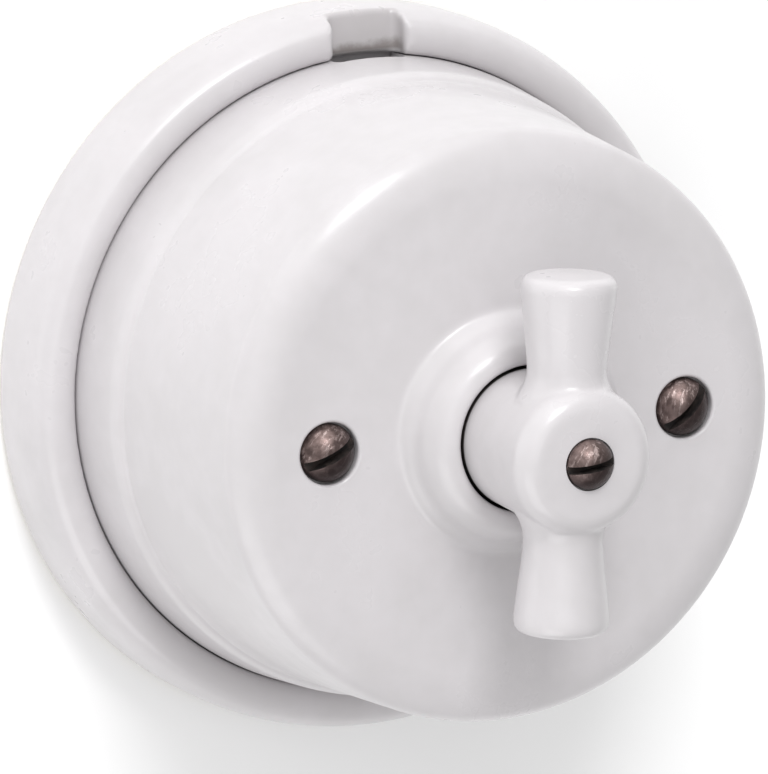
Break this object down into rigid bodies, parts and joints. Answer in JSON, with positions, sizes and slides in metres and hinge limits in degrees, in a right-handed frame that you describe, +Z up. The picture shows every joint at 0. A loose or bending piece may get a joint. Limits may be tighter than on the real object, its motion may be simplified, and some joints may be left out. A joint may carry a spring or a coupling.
{
  "type": "light switch",
  "caption": "Surface-mounted round porcelain rotary light switch with a T-shaped handle, dome-head slotted screws and a cable notch in the rim.",
  "frame": {"origin": "centre of the base's back face, on the wall plane", "axes": "+Y into the wall, -Y out of the switch's front along the spindle, +Z up towards the cable notch, +X to the right seen from the front"},
  "size_m": [0.076, 0.0602, 0.076],
  "materials": {
    "base_porcelain": "white glazed porcelain, smooth soft edges",
    "cover_porcelain": "white glazed porcelain with tiny dark specks",
    "knob_porcelain": "white glazed porcelain",
    "screw_bronze": "dark aged bronze-brown, lightly scratched",
    "brass": "plain turned brass",
    "steel": "zinc-plated steel",
    "spring_steel": "spring steel",
    "fibre": "brown vulcanised fibre",
    "moulding": "black moulded insulating material",
    "cam_plastic": "natural hard plastic"
  },
  "bodies": {
    "switch": {"base": "base_porcelain", "cover": "cover_porcelain", "cover_screws": "screw_bronze", "pillars": "brass", "pillar_screws": "steel", "gasket": "fibre", "housing": "moulding", "housing_lid": "fibre", "strap": "steel", "mechanism_screws": "steel", "mechanism_nuts": "steel", "bush": "brass", "bush_nut": "brass", "contacts": "brass", "clamps": "steel", "terminal_screws": "brass", "detent_springs": "spring_steel"},
    "handle": {"knob": "knob_porcelain", "knob_screw": "screw_bronze", "spindle": "brass", "spindle_ring": "spring_steel", "rotor": "moulding", "bridge": "brass", "cam": "cam_plastic"}
  },
  "joints": [
    {"name": "knob_turn", "type": "hinge", "parent": "switch", "child": "handle", "pos_m": [0, -0.0408, 0], "axis": [0, 1, 0], "continuous": true, "deforming": ["detent_springs"]}
  ]
}
